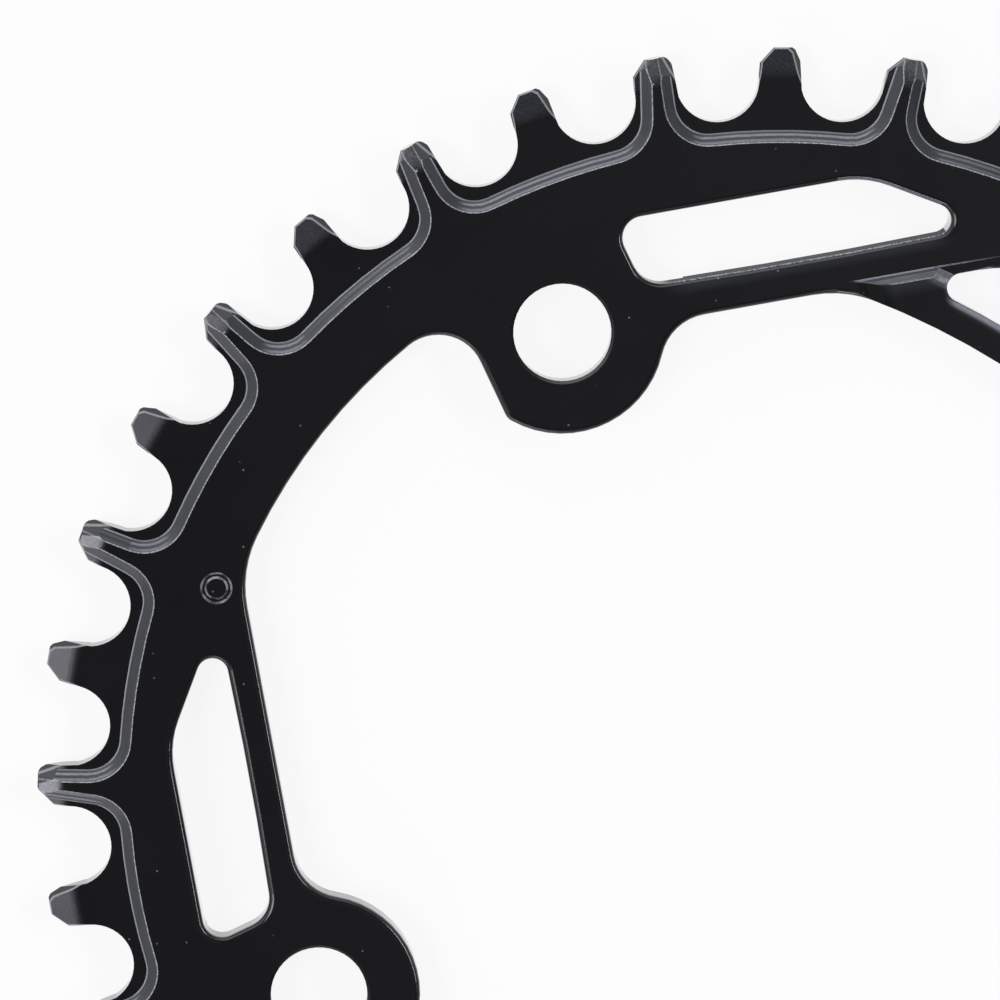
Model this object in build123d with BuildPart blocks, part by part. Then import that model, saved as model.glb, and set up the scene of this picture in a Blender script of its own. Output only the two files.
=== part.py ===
from build123d import *
import math
import os

# Bicycle chainring, machined from one aluminium plate. Millimetres.
# The ring lies flat: its axis is +Z, the back face is at Z = 0 and the front face up.

# Teeth
TEETH = 36
PITCH = 12.7
PITCH_R = PITCH / (2 * math.sin(math.pi / TEETH))  # 72.86
ROOT_R = PITCH_R - 4.10  # bottom of the roller seats
TIP_R = 76.0
SEAT_R = 4.28  # radius of a roller seat
STEP = 360 / TEETH
WIDE_AT = 80.0  # angle of one wide tooth, narrow teeth sit between

# Plate levels
THICK = 4.0
NARROW = 2.1  # thickness of the narrow teeth
STEP_H = (THICK - NARROW) / 2  # height of the step on each face
LEDGE_F = THICK - STEP_H
LEDGE_B = STEP_H

# Step between the thick body and the narrow teeth
BAND_R = 67.68  # foot of the step, below the narrow teeth
BAND_W = 1.22  # width of the slope, seen from the front
BAND_FILLET = 3.3

# Turned tips
WIDE_TIP_START, WIDE_TIP_SLOPE = 73.6, 0.268  # 15 degree bevel
NARROW_TIP_START, NARROW_TIP_SLOPE = 73.25, 0.2126  # 12 degree bevel
WIDE_TIP_BLEND, NARROW_TIP_BLEND = 3.0, 5.0  # radius where a bevel starts
TIP_BREAK = 0.15  # broken edge at the very tip

# Body and web
BODY_IN_R = 59.26
BOLT_R = 52.0  # 104 mm bolt circle
BOLT_AT = 115.0
BOLTS = 4
HOLE_R = 5.0
TAB_R = 10.5  # rounded end of a tab, about its bolt hole
TAB_SIDE = 8.85  # straight side of a tab, towards the notch
NOTCH_FILLET = 4.7
STRUT_FILLET = 12.0
TAB_FILLET = 5.3
WEB_TILT = 10.0  # the struts and slots run along lines turned by this angle
STRUT_IN_A = 49.42  # inner edge of the strut that carries a diagonal bar
WINDOW_V = 48.95  # outer edge of the window beside the bar
STRUT_IN_B = 50.15  # inner edge of the plain strut
RELIEF_R = 13.5  # shallow relief round each bolt hole, on the back
RELIEF_D = 1.2

# Slots: corners along and across the web line, radii of the corners, bow of the long inner edge
SLOT_A = ((-6.472, 60.475), (19.51, 60.475), (31.54, 53.37), (-4.47, 53.37))
SLOT_B = ((-6.36, 60.645), (15.242, 60.645), (27.287, 53.53), (-4.355, 53.53))
SLOT_A_FILLETS = (2.2, 10.0, 1.61, 2.9)
SLOT_B_FILLETS = (2.0, 10.0, 1.59, 3.2)
SLOT_BOW = 0.30

# Diagonal bar
BAR_CX, BAR_CY = -19.6, -24.2
BAR_IN_R, BAR_W = 80.0, 3.4
POCKET_V = 50.2  # top of the slope beside the bar
POCKET_FLOOR = LEDGE_F
POCKET_SLOPE = 1.27
RAMP_U0, RAMP_U1 = 17.0, 20.4
RAMP_BLEND = 7.0
POCKET_END_V = 27.0  # foot of the bar, where the pocket ends
POCKET_MAX_R = 58.0
FAN = ((24.75, 48.93), (25.98, 48.05))  # foot of the slope that closes the pocket at the window
FAN_RISE = 0.62
LIP_U0, LIP_U1, LIP_D = 25.0, 37.0, 0.18  # shallow lip along the window, running out
LIP_W = 0.22  # width of its sloped side
BAR_ROUND = 0.8  # rounded edge of the bar beside the window
BAR_ROUND_FROM, BAR_ROUND_ARC = 62.0, 17.5
BAR_ROUND_SHIFT = (-1.82, 1.52)  # centre of the rounding cut, so that it runs in gently
BAR_FOOT_FILLET = 1.0
WINDOW_FILLET = 1.5

# Edges and mark
EDGE = 0.65  # rounded front edges of the web
BACK_BREAK, HOLE_BREAK = 0.3, 0.3
MARK_R, MARK_AT, MARK_OUT, MARK_IN, MARK_D = 61.1, 160.0, 1.65, 1.0, 0.2
MARK_SIDE = 0.22  # width of the sloped sides of the mark


def uv(u, v, turn=0.0):
    """Point given along and across a web line, turned with the quadrant."""
    a = math.radians(WEB_TILT + turn)
    return (u * math.cos(a) - v * math.sin(a), u * math.sin(a) + v * math.cos(a))


def tilt(x, y, deg):
    a = math.radians(deg)
    return (x * math.cos(a) - y * math.sin(a), x * math.sin(a) + y * math.cos(a))


# --- one tooth gap, on +Y, between the trailing side of one tooth and the cut side of the next
half = STEP / 2
seat_y = ROOT_R + SEAT_R
with BuildSketch() as gap:
    with BuildLine():
        left_top = tilt(1.2, 79.0, half)
        left_tip = tilt(1.2, 76.06, half)
        left_mid = tilt(1.95, 75.62, half)
        left_end = tilt(2.24, 74.75, half)
        seat_l = (-3.94, seat_y - 1.35)
        seat_r = (0.08 + SEAT_R, seat_y)
        right_end = tilt(-1.9, 74.45, -half)
        right_tip = tilt(-0.15, 76.32, -half)
        right_top = tilt(-0.15, 79.0, -half)
        Line(left_top, left_tip)
        ThreePointArc(left_tip, left_mid, left_end)
        Line(left_end, seat_l)
        ThreePointArc(seat_l, (0.08, ROOT_R), seat_r)
        Line(seat_r, right_end)
        Line(right_end, right_tip)
        Line(right_tip, right_top)
        Line(right_top, left_top)
    make_face()


# --- wedges that trim the edges of the tooth tips beside a gap, on both faces
def narrow_z(r):
    """Height of the narrow teeth's bevel at radius r."""
    return LEDGE_F - NARROW_TIP_SLOPE * max(0.0, r - NARROW_TIP_START)


def trim(a, b, slope, turn, before=0.4, after=0.3, reach=0.8, up=2.0):
    """Corners of a wedge above a plane through the tooth line a-b, falling outwards."""
    length = math.dist(a, b)
    tx, ty = (b[0] - a[0]) / length, (b[1] - a[1]) / length
    side = 1 if a[0] + b[0] > 0 else -1
    ox, oy = (-ty, tx) if -ty * side > 0 else (ty, -tx)
    za, zb = narrow_z(math.hypot(*a)), narrow_z(math.hypot(*b))
    rise, fall = (zb - za) / length, math.tan(math.radians(slope))

    def corner(p, q):
        x, y = tilt(a[0] + tx * p + ox * q, a[1] + ty * p + oy * q, turn)
        return (x, y, za + rise * p - fall * q)

    points = []
    for p in (-before, length + after):
        inner, outer = corner(p, -up / fall), corner(p, reach)
        points += [inner, outer, (outer[0], outer[1], inner[2])]
    return points


def both_faces(points):
    return [points, [(x, y, THICK - z) for x, y, z in points]]


NARROW_DRIVE = (
    trim((1.35, 75.41), (1.93, 73.15), 50, half, before=0.7, after=1.1, reach=0.9),
    trim((0.80, 75.95), (1.42, 75.35), 50, half, before=0.5),
)
WIDE_DRIVE = (trim((1.5, 75.41), (2.3, 73.3), 50, half, before=0.9),)
NARROW_CUT = (
    trim((-0.048, 76.224), (-1.798, 74.354), 70, -half),
    trim((-1.64, 74.40), (-2.10, 72.05), 60, -half, after=0.0),
)
WIDE_CUT = (
    trim((-0.048, 76.224), (-1.798, 74.354), 74, -half),
    trim((-1.77, 74.40), (-2.09, 72.40), 60, -half, after=0.0),
)

with BuildPart() as gap_narrow_wide:
    with BuildSketch():
        add(gap.sketch)
    extrude(amount=THICK + 1, both=True)
    for wedge in NARROW_DRIVE + WIDE_CUT:
        for points in both_faces(wedge):
            ConvexPolyhedron(points)

with BuildPart() as gap_wide_narrow:
    with BuildSketch():
        add(gap.sketch)
    extrude(amount=THICK + 1, both=True)
    for wedge in WIDE_DRIVE + NARROW_CUT:
        for points in both_faces(wedge):
            ConvexPolyhedron(points)

def near(shape, point):
    return shape.vertices().sort_by_distance(Vector(*point))[0]


def web_edges(shape, z):
    """Edges of the web's openings on one face of the plate."""
    return shape.edges().filter_by(
        lambda e: abs((e @ 0.0).Z - z) < 1e-4
        and abs((e @ 0.5).Z - z) < 1e-4
        and math.hypot((e @ 0.5).X, (e @ 0.5).Y) < 62.0
    )


# --- slots in the web, the long inner edge bowed slightly inwards
def bow_mid(corners):
    (cu, cv), (bu, bv) = corners[2], corners[3]
    return ((cu + bu) / 2, (cv + bv) / 2 - SLOT_BOW)


with BuildSketch() as slot_a:
    corners = [uv(*q) for q in SLOT_A]
    with BuildLine():
        Line(corners[0], corners[1])
        Line(corners[1], corners[2])
        ThreePointArc(corners[2], uv(*bow_mid(SLOT_A)), corners[3])
        Line(corners[3], corners[0])
    make_face()
    for corner, r in zip(corners, SLOT_A_FILLETS):
        fillet(near(slot_a, corner), r)

with BuildSketch() as slot_b:
    corners = [uv(*q, turn=90) for q in SLOT_B]
    with BuildLine():
        Line(corners[0], corners[1])
        Line(corners[1], corners[2])
        ThreePointArc(corners[2], uv(*bow_mid(SLOT_B), turn=90), corners[3])
        Line(corners[3], corners[0])
    make_face()
    for corner, r in zip(corners, SLOT_B_FILLETS):
        fillet(near(slot_b, corner), r)

# --- diagonal bar, a curved strip from the strut to the next tab
with BuildSketch() as bar:
    with BuildLine():
        def on_bar(r, deg):
            t = math.radians(deg)
            return (BAR_CX + r * math.cos(t), BAR_CY + r * math.sin(t))
        r0, r1 = BAR_IN_R, BAR_IN_R + BAR_W
        ThreePointArc(on_bar(r0, 74), on_bar(r0, 57), on_bar(r0, 39.5))
        Line(on_bar(r0, 39.5), on_bar(r1, 39.5))
        ThreePointArc(on_bar(r1, 39.5), on_bar(r1, 57), on_bar(r1, 74))
        Line(on_bar(r1, 74), on_bar(r0, 74))
    make_face()

# --- everything cut away inside the body: a disc less the tabs, struts and bars
lean = math.radians(BOLT_AT - WEB_TILT)


def on_axis(v):
    """Point of a tab's axis at height v in the web frame."""
    return (v / math.tan(lean), v)


# --- one tab, its axis along +X
with BuildSketch() as tab:
    with Locations((BOLT_R, 0)):
        Circle(TAB_R)
    with Locations((BOLT_R + 6, 0)):
        Rectangle(12, 2 * TAB_R)
    with Locations((BOLT_R, TAB_SIDE + 10)):
        Rectangle(60, 20, mode=Mode.SUBTRACT)
    fillet(near(tab, (BOLT_R - math.sqrt(TAB_R**2 - TAB_SIDE**2), TAB_SIDE)), 1.5)

with BuildSketch() as void:
    Circle(BODY_IN_R)
    with PolarLocations(0, BOLTS, start_angle=BOLT_AT):
        add(tab.sketch, mode=Mode.SUBTRACT)
    for turn in (0, 180):
        Polygon(
            *[
                uv(*q, turn=turn)
                for q in (
                    on_axis(STRUT_IN_A),
                    (21.0, STRUT_IN_A),
                    (21.0, WINDOW_V),
                    (44.0, WINDOW_V),
                    (44.0, 66.0),
                    on_axis(66.0),
                )
            ],
            align=None,
            mode=Mode.SUBTRACT,
        )
        Polygon(
            *[
                uv(*q, turn=turn + 90)
                for q in (
                    on_axis(STRUT_IN_B),
                    (44.0, STRUT_IN_B),
                    (44.0, 66.0),
                    on_axis(66.0),
                )
            ],
            align=None,
            mode=Mode.SUBTRACT,
        )
    with PolarLocations(0, 2):
        add(bar.sketch, mode=Mode.SUBTRACT)
    # rounded corners of the web
    for s in (1, -1):
        for (x, y), r in (
            ((43.67, 30.13), 0.6 * BAR_FOOT_FILLET),
            ((-54.87, 22.38), STRUT_FILLET),
            ((24.39, 54.01), STRUT_FILLET),
            ((-11.53, 48.15), TAB_FILLET),
            ((-48.87, -11.62), TAB_FILLET),
            ((-32.78, 49.37), NOTCH_FILLET),
            ((49.37, 32.78), 0.8 * NOTCH_FILLET),
            ((40.47, 28.63), BAR_FOOT_FILLET),
            ((6.68, 51.36), STRUT_FILLET),
            ((13.93, 52.16), WINDOW_FILLET),
        ):
            fillet(near(void, (s * x, s * y)), r)

# --- pocket over the bar: flat floor, ramped start, sloped long side
with BuildPart() as pocket:
    along = Plane((0, 0, 0), x_dir=(*uv(1, 0), 0), z_dir=(*uv(0, -1), 0))
    with BuildSketch(along.offset(-POCKET_V - 2)) as ramp:
        with BuildLine():
            Polyline(
                (RAMP_U0 - 6, THICK),
                (RAMP_U0, THICK),
                (RAMP_U1, POCKET_FLOOR),
                (70, POCKET_FLOOR),
                (70, THICK + 2),
                (RAMP_U0 - 6, THICK + 2),
                close=True,
            )
        make_face()
        fillet(near(ramp, (RAMP_U0, THICK)), RAMP_BLEND)
        fillet(near(ramp, (RAMP_U1, POCKET_FLOOR)), RAMP_BLEND)
    extrude(amount=30)
    across = Plane((0, 0, 0), x_dir=(*uv(0, 1), 0), z_dir=(*uv(1, 0), 0))
    with BuildSketch(across):
        with BuildLine():
            Polyline(
                (POCKET_END_V + POCKET_SLOPE, POCKET_FLOOR),
                (POCKET_V - POCKET_SLOPE, POCKET_FLOOR),
                (POCKET_V + 2 * POCKET_SLOPE / STEP_H, THICK + 2),
                (POCKET_END_V - 2 * POCKET_SLOPE / STEP_H, THICK + 2),
                close=True,
            )
        make_face()
    extrude(amount=80, mode=Mode.INTERSECT)
    # the slope that closes the pocket towards the window
    (u0, v0), (u1, v1) = FAN
    fan_x = uv((u1 - u0) / math.dist(*FAN), (v1 - v0) / math.dist(*FAN))
    fan_plane = Plane((*uv(u0, v0), POCKET_FLOOR), x_dir=(-fan_x[1], fan_x[0], 0), z_dir=(*fan_x, 0))
    with BuildSketch(fan_plane):
        with BuildLine():
            Polyline(
                (-60, -60 * FAN_RISE),
                (6, 6 * FAN_RISE),
                (6, 10),
                (-60, 10),
                close=True,
            )
        make_face()
    extrude(amount=80, both=True, mode=Mode.INTERSECT)
    # kept clear of the body
    with BuildSketch():
        Circle(POCKET_MAX_R)
    extrude(amount=THICK + 4, mode=Mode.INTERSECT)

# --- shallow lip along the window, with a sloped side, rising until it runs out
with BuildPart() as lip:
    run = LIP_U1 - LIP_U0
    lip_plane = Plane(
        (*uv(LIP_U0, POCKET_V), THICK - LIP_D),
        x_dir=(*uv(0, 1), 0),
        z_dir=(*uv(run, 0), LIP_D),
    )
    with BuildSketch(lip_plane):
        with BuildLine():
            Polyline(
                (-3, 0),
                (-LIP_W, 0),
                (-LIP_W + LIP_W / LIP_D, 1),
                (-3, 1),
                close=True,
            )
        make_face()
    extrude(amount=math.hypot(run, LIP_D))

# --- rounded edge of the bar beside the window, deeper towards its foot
with BuildPart() as bar_round:
    cx, cy = BAR_CX + BAR_ROUND_SHIFT[0], BAR_CY + BAR_ROUND_SHIFT[1]
    t = math.radians(BAR_ROUND_FROM)
    r0 = BAR_IN_R + BAR_W
    with BuildSketch(Plane((cx, cy, 0), x_dir=(math.cos(t), math.sin(t), 0), z_dir=(math.sin(t), -math.cos(t), 0))):
        with BuildLine():
            Polyline(
                (r0, POCKET_FLOOR - BAR_ROUND),
                (r0 + 1.4, POCKET_FLOOR - BAR_ROUND),
                (r0 + 1.4, THICK + 0.5),
                (r0 - BAR_ROUND, THICK + 0.5),
                (r0 - BAR_ROUND, POCKET_FLOOR),
            )
            RadiusArc((r0 - BAR_ROUND, POCKET_FLOOR), (r0, POCKET_FLOOR - BAR_ROUND), BAR_ROUND)
        make_face()
    revolve(axis=Axis((cx, cy, 0), (0, 0, -1)), revolution_arc=BAR_ROUND_ARC)

# --- foot of the slope on one wide tooth, on +Y
with BuildSketch() as spoke:
    with BuildLine():
        Polyline(
            (-0.42 + 0.15 * (64 - 71.5) - 1.01 * BAND_W, 64),
            (-0.42 + 0.15 * (77 - 71.5) - 1.01 * BAND_W, 77),
            (0.64 + 0.024 * (77 - 71.5) + BAND_W, 77),
            (0.64 + 0.024 * (64 - 71.5) + BAND_W, 64),
            close=True,
        )
    make_face()

# --- engraved index mark
with BuildPart() as mark:
    a = math.radians(MARK_AT)
    centre = Vector(MARK_R * math.cos(a), MARK_R * math.sin(a), THICK)
    with BuildSketch(Plane(centre, x_dir=(1, 0, 0), z_dir=(0, -1, 0))):
        with BuildLine():
            over = 0.1 * MARK_SIDE / MARK_D
            Polyline(
                (MARK_IN - over, 0.1),
                (MARK_IN + MARK_SIDE, -MARK_D),
                (MARK_OUT - MARK_SIDE, -MARK_D),
                (MARK_OUT + over, 0.1),
                close=True,
            )
        make_face()
    revolve(axis=Axis(centre, (0, 0, 1)))

# --- the chainring
with BuildPart() as chainring:
    # thick body with one spoke for each wide tooth, sloped all round on both faces
    with BuildSketch() as plan:
        Circle(BAND_R)
        with PolarLocations(0, TEETH // 2, start_angle=WIDE_AT - 90):
            add(spoke.sketch)
        fillet(
            plan.vertices().filter_by(
                lambda v: abs(math.hypot(v.X, v.Y) - BAND_R) < 0.02
            ),
            BAND_FILLET,
        )
    extrude(amount=THICK)
    top = chainring.faces().sort_by(Axis.Z)[-1]
    chamfer(top.edges(), length=BAND_W, length2=STEP_H, reference=top)
    bottom = chainring.faces().sort_by(Axis.Z)[0]
    chamfer(bottom.edges(), length=BAND_W, length2=STEP_H, reference=bottom)
    # turned tips of the wide teeth
    with BuildSketch(Plane.XZ) as wide_turn:
        with BuildLine():
            e, r0, r1 = TIP_BREAK, WIDE_TIP_START, TIP_R - TIP_BREAK
            d = WIDE_TIP_SLOPE * (r1 - r0)
            Polyline(
                (0, 0),
                (0, THICK),
                (r0, THICK),
                (r1, THICK - d),
                (TIP_R, THICK - d - e),
                (TIP_R, d + e),
                (r1, d),
                (r0, 0),
                close=True,
            )
        make_face()
        for z in (0, THICK):
            fillet(near(wide_turn, (r0, z)), WIDE_TIP_BLEND)
    revolve(axis=Axis.Z, mode=Mode.INTERSECT)
    # narrow teeth and the ledge they stand on
    with BuildSketch(Plane.XZ) as narrow_turn:
        with BuildLine():
            e, r0, r1 = TIP_BREAK, NARROW_TIP_START, TIP_R - TIP_BREAK
            d = NARROW_TIP_SLOPE * (r1 - r0)
            Polyline(
                (62, LEDGE_B),
                (62, LEDGE_F),
                (r0, LEDGE_F),
                (r1, LEDGE_F - d),
                (TIP_R, LEDGE_F - d - e),
                (TIP_R, LEDGE_B + d + e),
                (r1, LEDGE_B + d),
                (r0, LEDGE_B),
                close=True,
            )
        make_face()
        for z in (LEDGE_B, LEDGE_F):
            fillet(near(narrow_turn, (r0, z)), NARROW_TIP_BLEND)
    revolve(axis=Axis.Z)
    # roller seats, with the trimmed edges of the tips beside them
    with PolarLocations(0, TEETH // 2, start_angle=WIDE_AT - 90 + half):
        add(gap_narrow_wide.part, mode=Mode.SUBTRACT)
    with PolarLocations(0, TEETH // 2, start_angle=WIDE_AT - 90 - half):
        add(gap_wide_narrow.part, mode=Mode.SUBTRACT)
    # web
    with BuildSketch():
        add(void.sketch)
        with PolarLocations(0, 2):
            add(slot_a.sketch)
            add(slot_b.sketch)
    extrude(amount=THICK + 1, both=True, mode=Mode.SUBTRACT)
    # softened edges of the web, rounded on the front and broken on the back
    fillet(web_edges(chainring, THICK), EDGE)
    chamfer(web_edges(chainring, 0.0), BACK_BREAK)
    # pockets over the bars
    with PolarLocations(0, 2):
        add(pocket.part, mode=Mode.SUBTRACT)
        add(lip.part, mode=Mode.SUBTRACT)
        add(bar_round.part, mode=Mode.SUBTRACT)
    # bolt holes and the shallow relief round them on the back
    with BuildSketch():
        with PolarLocations(BOLT_R, BOLTS, start_angle=BOLT_AT):
            Circle(HOLE_R)
    extrude(amount=THICK + 1, mode=Mode.SUBTRACT)
    with BuildSketch():
        with PolarLocations(BOLT_R, BOLTS, start_angle=BOLT_AT):
            Circle(RELIEF_R)
    extrude(amount=RELIEF_D, mode=Mode.SUBTRACT)
    chamfer(
        chainring.edges()
        .filter_by(GeomType.CIRCLE)
        .filter_by(lambda e: abs(e.radius - HOLE_R) < 1e-4),
        HOLE_BREAK,
    )
    # index mark, a shallow ring with sloped sides
    add(mark.part, mode=Mode.SUBTRACT)

chainring.part.label = "chainring"
os.makedirs("parts", exist_ok=True)
export_step(chainring.part, "parts/chainring.step")
print("chainring", round(chainring.part.volume, 1), chainring.part.is_valid, len(chainring.solids()))
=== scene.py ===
import math

import bpy
from mathutils import Matrix, Vector

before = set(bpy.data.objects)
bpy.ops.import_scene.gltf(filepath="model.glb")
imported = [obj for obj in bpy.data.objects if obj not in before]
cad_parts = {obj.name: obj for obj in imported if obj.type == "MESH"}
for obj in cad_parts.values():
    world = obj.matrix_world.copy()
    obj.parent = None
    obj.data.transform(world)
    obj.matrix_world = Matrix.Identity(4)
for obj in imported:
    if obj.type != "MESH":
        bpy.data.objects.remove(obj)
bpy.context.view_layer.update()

scene = bpy.context.scene
scene.view_settings.view_transform = "Standard"
scene.view_settings.look = "None"

MM = 0.001
THICK, LEDGE_F, LEDGE_B = 4.0, 3.05, 0.95
TIP_START = 73.15
WIDE_AT, PAIR = 80.0, 20.0


# ---------------------------------------------------------------- node helpers
class Tree:
    """Small helper that builds a node tree."""

    def __init__(self, tree):
        self.tree = tree
        tree.nodes.clear()

    def node(self, kind, **props):
        n = self.tree.nodes.new(kind)
        for key, value in props.items():
            setattr(n, key, value)
        return n

    def link(self, a, b):
        self.tree.links.new(a, b)

    def put(self, socket, value):
        if hasattr(value, "is_output"):
            self.link(value, socket)
        else:
            socket.default_value = value

    def math(self, op, a, b=0.0, c=None, clamp=False):
        n = self.node("ShaderNodeMath", operation=op, use_clamp=clamp)
        self.put(n.inputs[0], a)
        self.put(n.inputs[1], b)
        if c is not None:
            self.put(n.inputs[2], c)
        return n.outputs[0]

    def ramp(self, x, lo, hi, out_lo=0.0, out_hi=1.0, smooth=True):
        n = self.node("ShaderNodeMapRange")
        n.interpolation_type = "SMOOTHSTEP" if smooth else "LINEAR"
        self.put(n.inputs["Value"], x)
        self.put(n.inputs["From Min"], lo)
        self.put(n.inputs["From Max"], hi)
        self.put(n.inputs["To Min"], out_lo)
        self.put(n.inputs["To Max"], out_hi)
        return n.outputs[0]

    def line(self, x, at, half, soft):
        """1 on a line at x = at, falling to 0 on both sides."""
        d = self.math("ABSOLUTE", self.math("SUBTRACT", x, at))
        return self.ramp(d, half, half + soft, 1.0, 0.0)

    def noise(self, vector, scale, detail=2.0, rough=0.5, distortion=0.0):
        n = self.node("ShaderNodeTexNoise")
        self.put(n.inputs["Vector"], vector)
        n.inputs["Scale"].default_value = scale
        n.inputs["Detail"].default_value = detail
        n.inputs["Roughness"].default_value = rough
        n.inputs["Distortion"].default_value = distortion
        return n.outputs[0]

    def mix(self, fac, a, b):
        n = self.node("ShaderNodeMix", data_type="RGBA")
        self.put(n.inputs["Factor"], fac)
        self.put(n.inputs["A"], a)
        self.put(n.inputs["B"], b)
        return n.outputs["Result"]

    def combine(self, x, y, z):
        n = self.node("ShaderNodeCombineXYZ")
        for s, v in zip(n.inputs, (x, y, z)):
            self.put(s, v)
        return n.outputs[0]


def start(name):
    """A new material with its object position in millimetres."""
    m = bpy.data.materials.new(name)
    m.use_nodes = True
    t = Tree(m.node_tree)
    coord = t.node("ShaderNodeTexCoord")
    mm = t.node("ShaderNodeVectorMath", operation="SCALE")
    t.link(coord.outputs["Object"], mm.inputs[0])
    mm.inputs["Scale"].default_value = 1000.0
    xyz = t.node("ShaderNodeSeparateXYZ")
    t.link(mm.outputs[0], xyz.inputs[0])
    bsdf = t.node("ShaderNodeBsdfPrincipled")
    out = t.node("ShaderNodeOutputMaterial")
    t.link(bsdf.outputs[0], out.inputs["Surface"])
    return m, t, mm.outputs[0], xyz.outputs, bsdf


def bump(t, bsdf, height, strength, distance):
    b = t.node("ShaderNodeBump")
    b.inputs["Strength"].default_value = strength
    b.inputs["Distance"].default_value = distance
    t.link(height, b.inputs["Height"])
    t.link(b.outputs[0], bsdf.inputs["Normal"])


# ---------------------------------------------------------------- materials
def polar(t, xyz):
    """Radius and direction of the point about the ring's axis."""
    x, y = xyz[0], xyz[1]
    r = t.math("SQRT", t.math("ADD", t.math("MULTIPLY", x, x), t.math("MULTIPLY", y, y)))
    return r, t.math("DIVIDE", x, r), t.math("DIVIDE", y, r)


def along_web(t, x, y):
    """Position along the web line that the slots with a coarse wall follow, the same for both of them."""
    a = math.radians(10.0)
    u = t.math("ADD", t.math("MULTIPLY", x, math.cos(a)), t.math("MULTIPLY", y, math.sin(a)))
    v = t.math("ADD", t.math("MULTIPLY", x, -math.sin(a)), t.math("MULTIPLY", y, math.cos(a)))
    return t.math("MULTIPLY", u, t.math("SIGN", v))


def across_web(t, x, y):
    """Distance from the ring's axis across that web line."""
    a = math.radians(10.0)
    return t.math("ABSOLUTE", t.math("ADD", t.math("MULTIPLY", x, -math.sin(a)), t.math("MULTIPLY", y, math.cos(a))))


def bar_edge_highlight(t, x, y):
    """How much painted highlight lies on the edge of a bar beside its window, the same for both bars."""
    a = math.radians(10.0)
    turn = t.math("SIGN", t.math("ADD", t.math("MULTIPLY", x, -math.sin(a)), t.math("MULTIPLY", y, math.cos(a))))
    dx = t.math("ADD", t.math("MULTIPLY", x, turn), 19.6)
    dy = t.math("ADD", t.math("MULTIPLY", y, turn), 24.2)
    arc = t.math("SQRT", t.math("ADD", t.math("MULTIPLY", dx, dx), t.math("MULTIPLY", dy, dy)))
    rise = t.math("ADD", t.ramp(arc, 82.58, 83.12, 0.0, 0.94), t.ramp(arc, 82.20, 82.80, 0.0, 0.06))
    crest = t.math("MULTIPLY", rise, t.ramp(arc, 83.16, 83.40, 1.0, 0.45))
    reach = t.math("MULTIPLY", t.ramp(along_web(t, x, y), 25.5, 26.9), t.ramp(across_web(t, x, y), 28.0, 31.0))
    return t.math("MULTIPLY", crest, reach)


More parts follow.
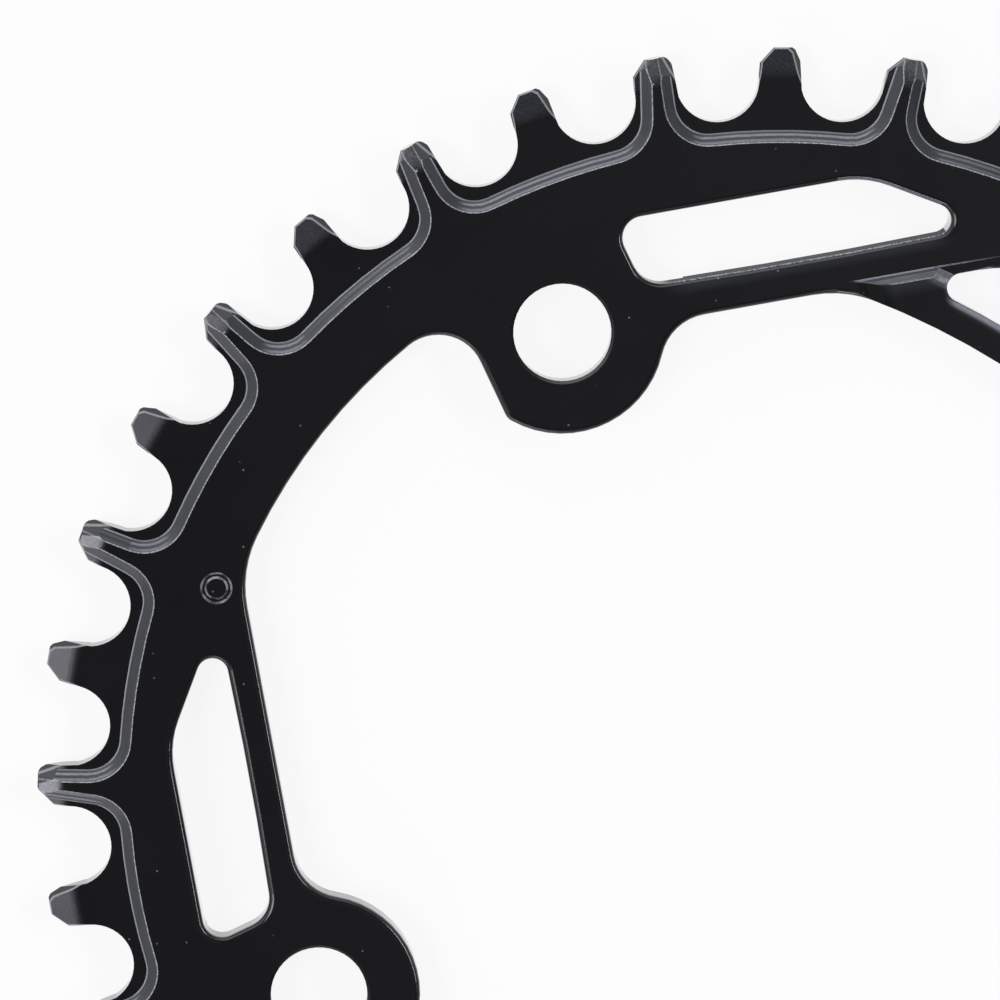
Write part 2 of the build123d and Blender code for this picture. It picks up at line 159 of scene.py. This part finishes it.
def make_anodised():
    """Satin black anodised face: dark, very smooth, with a faint cloudiness and a few specks of dust."""
    m, t, p, xyz, bsdf = start("anodised_black")
    cloud = t.noise(p, 0.10, 3.0, 0.55)
    fine = t.noise(p, 9.0, 2.0, 0.5)
    tone = t.ramp(cloud, 0.3, 0.7)
    face = t.mix(tone, (0.0056, 0.0056, 0.0064, 1), (0.0070, 0.0070, 0.0079, 1))
    # painted sheen: the face lightens softly towards the coarse wall of a slot and below the slope beside the bar
    along, across = along_web(t, xyz[0], xyz[1]), across_web(t, xyz[0], xyz[1])
    r, cx, cy = polar(t, xyz)
    beside = t.math("MULTIPLY", t.ramp(across, 51.6, 53.0), t.ramp(across, 53.6, 53.3))
    beside = t.math("MULTIPLY", beside, t.math("MULTIPLY", t.ramp(along, -3.4, 1.0), t.ramp(along, 28.0, 24.5)))
    below = t.math("MULTIPLY", t.ramp(xyz[2], 3.4, 3.1), t.ramp(across, 47.3, 49.1))
    below = t.math("MULTIPLY", below, t.math("MULTIPLY", t.ramp(along, 16.0, 20.0), t.ramp(r, 60.0, 58.0)))
    painted_sheen = t.math("MAXIMUM", beside, below)
    face = t.mix(painted_sheen, face, (0.026, 0.027, 0.031, 1))
    low = t.math("MULTIPLY", t.ramp(xyz[2], 3.4, 3.2), t.ramp(r, 60.0, 58.0))
    # painted highlight that runs out of the foot of the closing slope
    out = t.math(
        "ADD",
        t.math("MULTIPLY", t.math("SUBTRACT", along, 24.75), -0.582),
        t.math("MULTIPLY", t.math("SUBTRACT", across, 48.93), -0.813),
    )
    painted_patch = t.math("MULTIPLY", t.ramp(out, 0.75, -0.05), t.ramp(along, 23.4, 25.0))
    painted_patch = t.math("MULTIPLY", t.math("MULTIPLY", painted_patch, t.ramp(across, 46.6, 47.8)), t.ramp(t.noise(p, 2.4, 3.0, 0.6), 0.3, 0.7, 0.6, 1.0))
    face = t.mix(t.math("MULTIPLY", painted_patch, low), face, (0.120, 0.123, 0.130, 1))
    # the slope beside the bar starts with a rounded foot on the ramp
    above = t.math("ADD", t.math("SUBTRACT", across, 50.04), t.math("MULTIPLY", t.math("SUBTRACT", THICK, xyz[2]), 1.337))
    inside = t.math("MULTIPLY", t.ramp(above, 0.0, 0.05), t.ramp(across, 50.30, 50.24))
    inside = t.math("MULTIPLY", inside, t.math("MULTIPLY", t.ramp(along, 16.5, 17.3), t.ramp(along, 20.2, 18.8)))
    inside = t.math("MULTIPLY", inside, t.math("MULTIPLY", t.ramp(xyz[2], 3.08, 3.20), t.ramp(xyz[2], 3.999, 3.985)))
    face = t.mix(inside, face, (0.150, 0.156, 0.170, 1))
    # painted highlight on the edge of the bar
    crest = t.math("MULTIPLY", bar_edge_highlight(t, xyz[0], xyz[1]), t.ramp(t.noise(p, 2.6, 3.0, 0.6), 0.3, 0.7, 0.85, 1.0))
    face = t.mix(t.math("MULTIPLY", crest, low), face, (0.280, 0.284, 0.304, 1))
    cells = t.node("ShaderNodeTexVoronoi", feature="F1", distance="EUCLIDEAN", voronoi_dimensions="2D")
    t.link(p, cells.inputs["Vector"])
    cells.inputs["Scale"].default_value = 0.33
    pick = t.node("ShaderNodeSeparateColor")
    t.link(cells.outputs["Color"], pick.inputs[0])
    near = t.ramp(cells.outputs["Distance"], 0.012, 0.042, 1.0, 0.0)
    some = t.ramp(pick.outputs[0], 0.82, 1.0, 0.0, 1.0)
    speck = t.math("MULTIPLY", near, some)
    t.link(t.mix(speck, face, (0.20, 0.20, 0.21, 1)), bsdf.inputs["Base Color"])
    t.link(t.ramp(fine, 0.3, 0.7, 0.17, 0.22), bsdf.inputs["Roughness"])
    bump(t, bsdf, fine, 0.02, 0.00002)
    return m


def make_wall():
    """Cut edges of the plate: the same black finish, glossy, with fine mill lines round the outline."""
    m, t, p, xyz, bsdf = start("anodised_wall")
    lines = t.noise(t.combine(t.math("MULTIPLY", xyz[0], 0.05), t.math("MULTIPLY", xyz[1], 0.05), xyz[2]), 6.0, 2.0)
    t.link(t.mix(lines, (0.008, 0.008, 0.009, 1), (0.013, 0.013, 0.014, 1)), bsdf.inputs["Base Color"])
    t.link(t.ramp(lines, 0.3, 0.7, 0.10, 0.18), bsdf.inputs["Roughness"])
    bsdf.inputs["Coat Weight"].default_value = 1.0
    bsdf.inputs["Coat Roughness"].default_value = 0.08
    bump(t, bsdf, lines, 0.03, 0.00002)
    return m


def make_rough_wall():
    """Long wall of a slot left coarse by the cutter: dark fine grain, with a painted highlight as a light broken line
    along its front edge.
    """
    m, t, p, xyz, bsdf = start("coarse_wall")
    x, y, z = xyz[0], xyz[1], xyz[2]
    u = along_web(t, x, y)
    coarse = t.math("MULTIPLY", t.ramp(u, -3.4, -0.6), t.ramp(u, 29.2, 26.4))
    across = t.combine(x, y, t.math("MULTIPLY", z, 0.35))
    grain = t.noise(across, 3.6, 2.0, 0.6)
    flecks = t.noise(across, 4.4, 2.0, 0.6, 0.4)
    low = t.ramp(z, 0.2, 1.6)
    dark = t.mix(t.ramp(grain, 0.40, 0.62), (0.010, 0.0105, 0.012, 1), (0.088, 0.091, 0.101, 1))
    body = t.mix(low, (0.055, 0.056, 0.059, 1), dark)
    # painted highlight: a light broken line along the front edge
    edge = t.math("MULTIPLY", t.ramp(z, 3.06, 3.32), t.ramp(flecks, 0.40, 0.58, 0.20, 1.0))
    edge = t.math("MULTIPLY", edge, t.ramp(z, 3.76, 3.58))
    body = t.mix(t.ramp(z, 3.46, 3.70), body, (0.024, 0.025, 0.028, 1))
    rough = t.mix(edge, body, (0.40, 0.41, 0.44, 1))
    t.link(t.mix(coarse, (0.0105, 0.0105, 0.0115, 1), rough), bsdf.inputs["Base Color"])
    t.link(t.ramp(coarse, 0.0, 1.0, 0.14, t.ramp(grain, 0.3, 0.7, 0.46, 0.62)), bsdf.inputs["Roughness"])
    bsdf.inputs["Specular IOR Level"].default_value = 0.1
    bump(t, bsdf, t.math("MULTIPLY", grain, coarse), 0.35, 0.00012)
    return m


def make_band():
    """Milled slope between the thick body and the narrow teeth, with painted highlights on the cutter lines along it
    and on its borders.
    """
    m, t, p, xyz, bsdf = start("milled_slope")
    x, y, z = xyz[0], xyz[1], xyz[2]
    geo = t.node("ShaderNodeNewGeometry")
    face = t.node("ShaderNodeSeparateXYZ")
    t.link(geo.outputs["Normal"], face.inputs[0])
    nx, ny = face.outputs[0], face.outputs[1]
    front = t.ramp(z, LEDGE_F, THICK, 0.0, 1.0, smooth=False)
    back = t.ramp(z, LEDGE_B, 0.0, 0.0, 1.0, smooth=False)
    u = t.math("MAXIMUM", front, back)
    r, cx, cy = polar(t, xyz)
    # height that is left under the bevel of a wide tooth
    u_top = t.math("SUBTRACT", 1.0, t.math("MULTIPLY", t.math("MAXIMUM", t.math("SUBTRACT", r, 73.6), 0.0), 0.282))
    grain = t.noise(p, 5.0, 3.0, 0.6)
    dots = t.noise(p, 4.6, 1.0, 0.5)
    slow = t.noise(p, 0.09, 2.0, 0.5)
    along = t.noise(t.combine(t.math("MULTIPLY", x, 0.10), t.math("MULTIPLY", y, 0.10), t.math("MULTIPLY", u, 4.2)), 2.6, 2.0, 0.55)
    wave = t.math("ADD", u, t.ramp(t.noise(p, 0.45, 1.0), 0.2, 0.8, -0.03, 0.03, smooth=False))
    # painted highlights on the cutter lines, shown best where the slope faces across the ring's upper and lower arcs
    lean = t.math("ABSOLUTE", t.math("ADD", t.math("MULTIPLY", nx, -0.28), t.math("MULTIPLY", ny, 1.60)))
    shown = t.math("MULTIPLY", t.ramp(lean, 0.79, 0.975), t.ramp(slow, 0.25, 0.5, 0.8, 1.0))
    stripes = t.math("MAXIMUM", t.line(wave, 0.355, 0.04, 0.09), t.math("MULTIPLY", t.line(wave, 0.765, 0.05, 0.09), 0.78))
    stripes = t.math("MULTIPLY", t.math("MULTIPLY", stripes, shown), t.ramp(dots, 0.34, 0.60, 0.72, 1.0))
    # painted highlights along the foot and the top border of the slope
    foot = t.math("MULTIPLY", t.line(u, 0.045, 0.03, 0.07), t.ramp(dots, 0.3, 0.6, 0.8, 1.0))
    foot = t.math("MULTIPLY", foot, t.ramp(shown, 0.0, 1.0, 1.0, 0.50))
    top = t.math(
        "MULTIPLY",
        t.line(t.math("SUBTRACT", u, u_top), -0.02, 0.04, 0.06),
        t.ramp(dots, 0.38, 0.58, 0.42, 1.0),
    )
    edge = t.math("MAXIMUM", t.math("MULTIPLY", foot, 0.72), top)
    edge = t.math("MAXIMUM", edge, t.math("MULTIPLY", stripes, 0.54))
    tone = t.ramp(along, 0.3, 0.7)
    body = t.mix(tone, (0.0155, 0.0168, 0.0195, 1), (0.0275, 0.0295, 0.0335, 1))
    t.link(t.mix(edge, body, (0.365, 0.385, 0.415, 1)), bsdf.inputs["Base Color"])
    t.link(t.ramp(grain, 0.3, 0.7, 0.30, 0.40), bsdf.inputs["Roughness"])
    bump(t, bsdf, t.math("ADD", along, t.math("MULTIPLY", grain, 0.3)), 0.10, 0.00005)
    return m


def make_lens():
    """Slope beside the bar: slate inside painted highlights along its borders, with a dark line under the upper one,
    streaked along, paler where it meets the closing slope.
    """
    m, t, p, xyz, bsdf = start("slate_slope")
    x, y, z = xyz[0], xyz[1], xyz[2]
    along = along_web(t, x, y)
    u = t.ramp(z, LEDGE_F, THICK, 0.0, 1.0, smooth=False)
    streak = t.noise(t.combine(t.math("MULTIPLY", x, 0.22), t.math("MULTIPLY", y, 0.22), t.math("MULTIPLY", u, 3.0)), 3.0, 3.0, 0.6)
    dots = t.noise(p, 4.6, 1.0, 0.5)
    body = t.mix(t.ramp(streak, 0.32, 0.68), (0.098, 0.103, 0.116, 1), (0.165, 0.172, 0.188, 1))
    pale = t.mix(t.ramp(streak, 0.32, 0.68), (0.075, 0.078, 0.085, 1), (0.150, 0.155, 0.165, 1))
    # the dark inside tapers towards the far end
    end = t.ramp(t.math("ADD", along, t.math("MULTIPLY", u, -2.2)), 22.2, 23.6)
    shade = t.mix(end, body, pale)
    shade = t.mix(t.math("MULTIPLY", t.line(u, 0.74, 0.05, 0.10), 0.9), shade, (0.040, 0.043, 0.051, 1))
    # painted highlights along the top and foot borders
    top = t.math("MULTIPLY", t.line(u, 0.95, 0.05, 0.08), t.ramp(dots, 0.36, 0.58, 0.6, 1.0))
    foot = t.math("MULTIPLY", t.line(u, 0.06, 0.04, 0.08), t.ramp(dots, 0.40, 0.60, 0.35, 1.0))
    edge = t.math("MAXIMUM", t.math("MULTIPLY", top, 0.78), t.math("MULTIPLY", foot, 0.95))
    t.link(t.mix(edge, shade, (0.34, 0.355, 0.38, 1)), bsdf.inputs["Base Color"])
    t.link(t.ramp(streak, 0.3, 0.7, 0.30, 0.42), bsdf.inputs["Roughness"])
    bump(t, bsdf, streak, 0.12, 0.00005)
    return m


def make_fan():
    """Short slope that closes the pocket beside the bar, with a painted highlight where the cutter turned, and the lip
    that runs on from it.
    """
    m, t, p, xyz, bsdf = start("closing_slope_painted_highlight")
    grain = t.noise(p, 2.4, 3.0, 0.6)
    # painted highlight over the closing slope, darker through its middle height
    painted_patch = t.mix(t.ramp(grain, 0.3, 0.7), (0.085, 0.088, 0.096, 1), (0.25, 0.255, 0.265, 1))
    middle = t.math("MULTIPLY", t.ramp(xyz[2], 3.30, 3.55), t.ramp(xyz[2], 3.92, 3.80))
    painted_patch = t.mix(t.math("MULTIPLY", middle, 0.65), painted_patch, (0.050, 0.052, 0.058, 1))
    out = t.ramp(along_web(t, xyz[0], xyz[1]), 26.0, 33.0)
    t.link(t.mix(out, painted_patch, (0.045, 0.046, 0.050, 1)), bsdf.inputs["Base Color"])
    bsdf.inputs["Roughness"].default_value = 0.42
    bump(t, bsdf, grain, 0.15, 0.00006)
    return m


def make_round():
    """Rounded edge of the bar, with a painted highlight along its crest and dark again below it."""
    m, t, p, xyz, bsdf = start("bar_edge_painted_highlight")
    grain = t.noise(p, 2.6, 3.0, 0.6)
    # painted highlight along the crest of the rounded edge
    crest = t.math("MULTIPLY", bar_edge_highlight(t, xyz[0], xyz[1]), t.ramp(grain, 0.3, 0.7, 0.85, 1.0))
    t.link(t.mix(crest, (0.0075, 0.0076, 0.0088, 1), (0.280, 0.284, 0.304, 1)), bsdf.inputs["Base Color"])
    t.link(t.ramp(grain, 0.3, 0.7, 0.24, 0.34), bsdf.inputs["Roughness"])
    bump(t, bsdf, grain, 0.08, 0.00005)
    return m


def make_tip():
    """Turned bevel of the narrow teeth, with a fine grain, running out of the flat face."""
    m, t, p, xyz, bsdf = start("turned_tip")
    r, cx, cy = polar(t, xyz)
    grain = t.noise(p, 6.5, 4.0, 0.7)
    bevel = t.mix(t.ramp(grain, 0.35, 0.7), (0.011, 0.0118, 0.0150, 1), (0.033, 0.0345, 0.0430, 1))
    start_of = t.ramp(r, 72.8, 74.3)
    t.link(t.mix(start_of, (0.0063, 0.0063, 0.0071, 1), bevel), bsdf.inputs["Base Color"])
    t.link(t.ramp(t.ramp(r, 72.5, 73.7), 0.0, 1.0, 0.195, t.ramp(grain, 0.3, 0.7, 0.28, 0.40)), bsdf.inputs["Roughness"])
    bump(t, bsdf, grain, 0.06, 0.00004)
    return m


def tip_borders(t, p, xyz, r):
    """Painted highlights along the borders of the slopes, running on to the tip of a wide tooth."""
    turn = t.math("SUBTRACT", t.math("ARCTAN2", xyz[1], xyz[0]), math.radians(WIDE_AT))
    half = math.radians(PAIR / 2)
    side = t.math("MULTIPLY", t.math("WRAP", turn, half, -half), r)
    border = t.math("MAXIMUM", t.line(side, -0.86, 0.03, 0.07), t.line(side, 0.40, 0.03, 0.07))
    border = t.math("MULTIPLY", border, t.ramp(t.noise(p, 4.6, 1.0, 0.5), 0.36, 0.58, 0.35, 0.75))
    return t.math("MULTIPLY", border, t.ramp(r, 73.2, 73.8))


def make_wide_tip():
    """Turned bevel of the wide teeth, paler towards the very tip."""
    m, t, p, xyz, bsdf = start("turned_wide_tip")
    r, cx, cy = polar(t, xyz)
    grain = t.noise(p, 5.5, 4.0, 0.7)
    paler_out = t.ramp(t.math("ADD", r, t.ramp(grain, 0.2, 0.8, -0.3, 0.3, smooth=False)), 73.4, 75.6)
    dark = t.mix(t.ramp(grain, 0.35, 0.7), (0.013, 0.0135, 0.0155, 1), (0.034, 0.035, 0.040, 1))
    pale = t.mix(t.ramp(grain, 0.38, 0.66), (0.034, 0.034, 0.039, 1), (0.105, 0.104, 0.114, 1))
    start_of = t.ramp(r, 73.2, 74.5)
    bevel = t.mix(start_of, (0.0063, 0.0063, 0.0071, 1), t.mix(paler_out, dark, pale))
    # painted highlights of the slopes' borders running on to the tip
    border = tip_borders(t, p, xyz, r)
    t.link(t.mix(border, bevel, (0.27, 0.28, 0.30, 1)), bsdf.inputs["Base Color"])
    bsdf.inputs["IOR"].default_value = 1.8
    t.link(t.ramp(t.ramp(r, 73.0, 74.0), 0.0, 1.0, 0.195, t.ramp(grain, 0.3, 0.7, 0.30, 0.44)), bsdf.inputs["Roughness"])
    bump(t, bsdf, grain, 0.10, 0.00005)
    return m


def make_trim():
    """Trimmed edges of the tips: a painted highlight strip along the bevel, dark below it."""
    m, t, p, xyz, bsdf = start("trimmed_edge")
    r, cx, cy = polar(t, xyz)
    grain = t.noise(p, 6.0, 3.0, 0.6)
    level = t.math("SUBTRACT", 1.05, t.math("MULTIPLY", t.math("MAXIMUM", t.math("SUBTRACT", r, 73.25), 0.0), 0.2126))
    depth = t.math("SUBTRACT", level, t.math("ABSOLUTE", t.math("SUBTRACT", xyz[2], 2.0)))
    # painted highlight strip along the bevel
    strip = t.math("MULTIPLY", t.ramp(depth, -0.10, 0.0), t.ramp(depth, 0.14, 0.26, 1.0, 0.0))
    above = t.ramp(depth, -0.14, -0.04, 1.0, 0.0)
    strip = t.math("MULTIPLY", strip, t.ramp(grain, 0.3, 0.6, 0.7, 1.0))
    body = t.mix(above, (0.011, 0.011, 0.013, 1), (0.024, 0.025, 0.028, 1))
    # painted highlights of the slopes' borders
    body = t.mix(t.math("MULTIPLY", tip_borders(t, p, xyz, r), above), body, (0.27, 0.28, 0.30, 1))
    t.link(t.mix(strip, body, (0.26, 0.26, 0.275, 1)), bsdf.inputs["Base Color"])
    t.link(t.ramp(grain, 0.3, 0.7, 0.28, 0.40), bsdf.inputs["Roughness"])
    bump(t, bsdf, grain, 0.06, 0.00004)
    return m


def make_mark():
    """Sloped sides of the engraved index mark, lightly polished by the engraver."""
    m, t, p, xyz, bsdf = start("engraved_mark")
    grain = t.noise(p, 1.1, 3.0, 0.6)
    t.link(
        t.mix(t.ramp(grain, 0.34, 0.66), (0.028, 0.028, 0.030, 1), (0.30, 0.30, 0.315, 1)),
        bsdf.inputs["Base Color"],
    )
    bsdf.inputs["Roughness"].default_value = 0.35
    return m


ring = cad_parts["chainring"]
mesh = ring.data
mesh.materials.clear()
FACE, WALL, ROUGH, BAND, LENS, FAN, ROUND, TIP, WIDE, TRIM, MARK = range(11)
for maker in (
    make_anodised,
    make_wall,
    make_rough_wall,
    make_band,
    make_lens,
    make_fan,
    make_round,
    make_tip,
    make_wide_tip,
    make_trim,
    make_mark,
):
    mesh.materials.append(maker())

MARK_AT = math.radians(160.0)
mark_x, mark_y = 61.1 * math.cos(MARK_AT), 61.1 * math.sin(MARK_AT)
WEB = math.radians(10.0)


def web(x, y):
    """Position along and across the web line of the nearest strut with a bar."""
    s = 1.0 if -x * math.sin(WEB) + y * math.cos(WEB) > 0 else -1.0
    return (
        s * (x * math.cos(WEB) + y * math.sin(WEB)),
        s * (-x * math.sin(WEB) + y * math.cos(WEB)),
        s,
    )


def kind_of(c, n):
    x, y, z = c.x * 1000, c.y * 1000, c.z * 1000
    r = math.hypot(x, y)
    nr = (n.x * x + n.y * y) / max(r, 1e-9)
    nt = math.sqrt(max(0.0, 1 - n.z * n.z - nr * nr))
    flat = abs(n.z)
    if math.hypot(x - mark_x, y - mark_y) < 1.8 and 3.5 < z < 3.999 and flat < 0.95:
        return MARK
    if r > 71.8 and 0.2 < flat < 0.755:
        return TRIM
    if r > 72.4 and nr > 0.004 and nt < 0.3 and flat > 0.75:
        return TIP if LEDGE_B - 0.1 < z < LEDGE_F + 0.01 else WIDE
    if r < 60.0:
        u, v, s = web(x, y)
        nu = s * (n.x * math.cos(WEB) + n.y * math.sin(WEB))
        nv = s * (-n.x * math.sin(WEB) + n.y * math.cos(WEB))
        if -7.5 < u < 31.0 and 52.4 < v < 55.5 and nv > (0.80 if u > 10 else 0.25) and abs(n.z) < 0.6 and z > 0.3:
            return ROUGH
        if n.z > 0.1 and 2.2 < z < 3.055 and u > 25.9 and v < 47.6 and nu > 0.05 and nv > 0.05 and flat < 0.997:
            return ROUND
        if n.z > 0.5 and z > 3.8 and u > 24.9 and 49.7 < v < 50.25 and nv < -0.4:
            return FAN
        if n.z > 0.7 and z < 4.0 and nu < -0.1 and nv < -0.2 and 24.0 < u < 28.0 and v < 50.3:
            return FAN
    if flat < 0.45:
        return WALL
    if flat < 0.92 and (LEDGE_F - 0.02 < z < THICK + 0.02 or -0.02 < z < LEDGE_B + 0.02):
        if r > 62.5:
            return BAND
        u, v, s = web(x, y)
        if 0.775 < flat < 0.82 and n.z > 0 and 14.5 < u < 26.5 and 48.8 < v < 50.3:
            return LENS
    return FACE


for poly in mesh.polygons:
    poly.material_index = kind_of(poly.center, poly.normal)

# ---------------------------------------------------------------- floor
bpy.ops.mesh.primitive_plane_add(size=8.0, location=(0, 0, -0.00003))
floor = bpy.context.object
floor.name = "floor"
m = bpy.data.materials.new("floor_pale")
m.use_nodes = True
t = Tree(m.node_tree)
lit = t.node("ShaderNodeBsdfDiffuse")
lit.inputs["Color"].default_value = (0.10, 0.10, 0.10, 1)
glow = t.node("ShaderNodeEmission")
glow.inputs["Color"].default_value = (1, 1, 1, 1)
glow.inputs["Strength"].default_value = 0.89
both = t.node("ShaderNodeAddShader")
t.link(lit.outputs[0], both.inputs[0])
t.link(glow.outputs[0], both.inputs[1])
out = t.node("ShaderNodeOutputMaterial")
t.link(both.outputs[0], out.inputs["Surface"])
floor.data.materials.append(m)

# ---------------------------------------------------------------- light
world = bpy.data.worlds.new("studio")
scene.world = world
world.use_nodes = True
t = Tree(world.node_tree)
coord = t.node("ShaderNodeTexCoord")
xyz = t.node("ShaderNodeSeparateXYZ")
t.link(coord.outputs["Generated"], xyz.inputs[0])
height = t.node("ShaderNodeValToRGB")
t.link(xyz.outputs[2], height.inputs[0])
stops = height.color_ramp.elements
stops[0].position, stops[0].color = 0.0, (1.0, 1.0, 1.0, 1)
stops[1].position, stops[1].color = 1.0, (0.075, 0.075, 0.082, 1)
for pos, value in ((0.10, 1.47), (0.45, 1.47), (0.62, 0.40), (0.73, 0.12)):
    e = stops.new(pos)
    e.color = (value * 0.97, value, value * 1.045, 1)


def toward(deg):
    """How far a direction leans towards a compass direction."""
    a = math.radians(deg)
    return t.math(
        "ADD",
        t.math("MULTIPLY", xyz.outputs[0], math.cos(a)),
        t.math("MULTIPLY", xyz.outputs[1], math.sin(a)),
    )


side = t.math("ADD", t.ramp(toward(115.0), 0.50, 0.97, 0.66, 1.55), t.ramp(toward(246.0), 0.84, 0.96, 0.0, 1.15))
side = t.math("MULTIPLY", side, t.ramp(toward(-18.0), 0.0, 0.85, 1.0, 0.26))
back = t.node("ShaderNodeBackground")
t.link(height.outputs[0], back.inputs["Color"])
t.link(side, back.inputs["Strength"])
# faint glow overhead, stronger on the right
glow = t.node("ShaderNodeBackground")
glow.inputs["Color"].default_value = (0.95, 0.98, 1.0, 1)
t.link(
    t.math("MULTIPLY", t.ramp(xyz.outputs[2], 0.88, 0.96), t.ramp(xyz.outputs[0], -0.04, 0.10, 0.0, 0.19)),
    glow.inputs["Strength"],
)
sky = t.node("ShaderNodeAddShader")
t.link(back.outputs[0], sky.inputs[0])
t.link(glow.outputs[0], sky.inputs[1])
out = t.node("ShaderNodeOutputWorld")
t.link(sky.outputs[0], out.inputs["Surface"])


def area(name, at, target, size_x, size_y, power, colour):
    light = bpy.data.lights.new(name, "AREA")
    light.shape = "RECTANGLE"
    light.size, light.size_y = size_x, size_y
    light.energy = power
    light.color = colour
    o = bpy.data.objects.new(name, light)
    o.location = at
    o.rotation_euler = (Vector(target) - Vector(at)).to_track_quat("-Z", "Y").to_euler()
    o.visible_camera = False
    scene.collection.objects.link(o)
    return o


area("softbox_left", (-0.75, -0.10, 0.95), (-0.04, 0.02, 0), 0.5, 0.5, 6.5, (0.99, 0.95, 1.05))
area("strip_right", (1.06, 0.25, 0.80), (-0.04, 0.02, 0), 0.9, 0.20, 8.0, (0.88, 0.93, 1.0))

# ---------------------------------------------------------------- camera
ROTVEC = Vector((0.15978152435115925, 0.027099193000067346, 0.0026811293296615402))
SHIFT = Vector((28.326616147649272, -29.2398967173997, -599.7260924746183))
turn = Matrix.Rotation(ROTVEC.length, 3, ROTVEC.normalized())
eye = -(turn.transposed() @ SHIFT) + Vector((0, 0, LEDGE_F))
cam_data = bpy.data.cameras.new("camera")
cam_data.sensor_width = 36.0
cam_data.sensor_fit = "HORIZONTAL"
cam_data.lens = 208.8
cam_data.clip_start, cam_data.clip_end = 0.05, 20.0
cam = bpy.data.objects.new("camera", cam_data)
cam.matrix_world = Matrix.Translation(eye * MM) @ turn.transposed().to_4x4()
scene.collection.objects.link(cam)
scene.camera = cam
